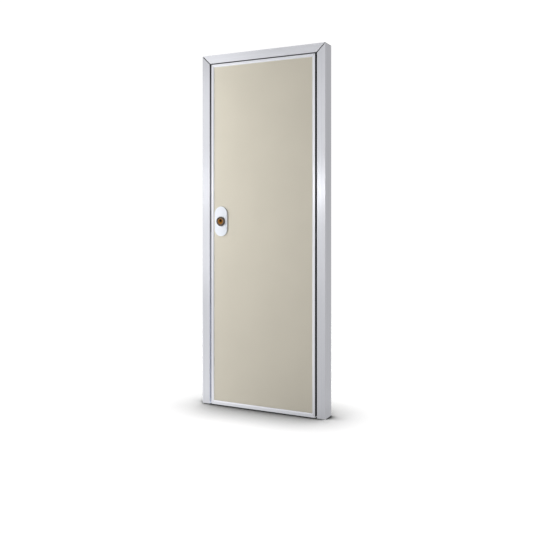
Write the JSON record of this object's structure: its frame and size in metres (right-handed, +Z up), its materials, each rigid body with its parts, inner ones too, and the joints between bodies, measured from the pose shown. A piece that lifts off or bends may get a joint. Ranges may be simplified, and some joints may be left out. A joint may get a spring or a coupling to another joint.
{
  "type": "pvc door with aluminium frame",
  "caption": "Cream PVC door leaf edged in satin aluminium, hung in a mitred three-sided aluminium frame, with a cylinder lock on a white rounded plate.",
  "frame": {"origin": "on the wall face of the hinge jamb, at floor level, half way through the frame's depth", "axes": "+X out of the wall face of the hinge jamb, so the opening lies toward -X; +Y from the front of the closed leaf toward the back, the way the leaf opens; +Z up"},
  "size_m": [0.8, 0.099, 2.1],
  "materials": {
    "satin_aluminium": "satin anodised, silver",
    "mill_aluminium": "mill",
    "black_rubber": "matt",
    "zinc_steel": "zinc plated, satin",
    "cream_pvc": "smooth satin cream",
    "brass_bolt": "satin",
    "white_plastic": "gloss white",
    "dark_nickel": "dark satin nickel",
    "brass_plug": "satin",
    "hinge_metal": "satin"
  },
  "bodies": {
    "frame": {"hinge_jamb": "satin_aluminium", "lock_jamb": "satin_aluminium", "head_member": "satin_aluminium", "hinge_corner_cleat": "mill_aluminium", "lock_corner_cleat": "mill_aluminium", "hinge_seal": "black_rubber", "lock_seal": "black_rubber", "head_seal": "black_rubber", "strike_plate": "zinc_steel", "strike_box": "zinc_steel", "low_hinge_frame_half": "hinge_metal", "mid_hinge_frame_half": "hinge_metal", "top_hinge_frame_half": "hinge_metal"},
    "leaf": {"leaf_hinge_stile": "satin_aluminium", "leaf_lock_stile": "satin_aluminium", "leaf_top_rail": "satin_aluminium", "leaf_bottom_rail": "satin_aluminium", "rear_hinge_strip": "satin_aluminium", "rear_lock_strip": "satin_aluminium", "rear_top_strip": "satin_aluminium", "rear_bottom_strip": "satin_aluminium", "pvc_panel": "cream_pvc", "lock_faceplate": "zinc_steel", "lock_case": "zinc_steel", "dead_bolt": "brass_bolt", "front_escutcheon": "white_plastic", "back_escutcheon": "white_plastic", "front_collar": "dark_nickel", "back_collar": "dark_nickel", "cylinder_barrel": "dark_nickel", "low_hinge_leaf_half": "hinge_metal", "mid_hinge_leaf_half": "hinge_metal", "top_hinge_leaf_half": "hinge_metal"},
    "key_plug": {"cylinder_plug": "brass_plug"}
  },
  "joints": [
    {"name": "leaf_swing", "type": "hinge", "parent": "frame", "child": "leaf", "pos_m": [-0.033, 0.015, 0], "axis": [0, 0, -1], "range_deg": [0, 100]},
    {"name": "key_turn", "type": "hinge", "parent": "leaf", "child": "key_plug", "pos_m": [-0.671, 0, 1.1], "axis": [0, 1, 0], "range_deg": [0, 180]}
  ]
}
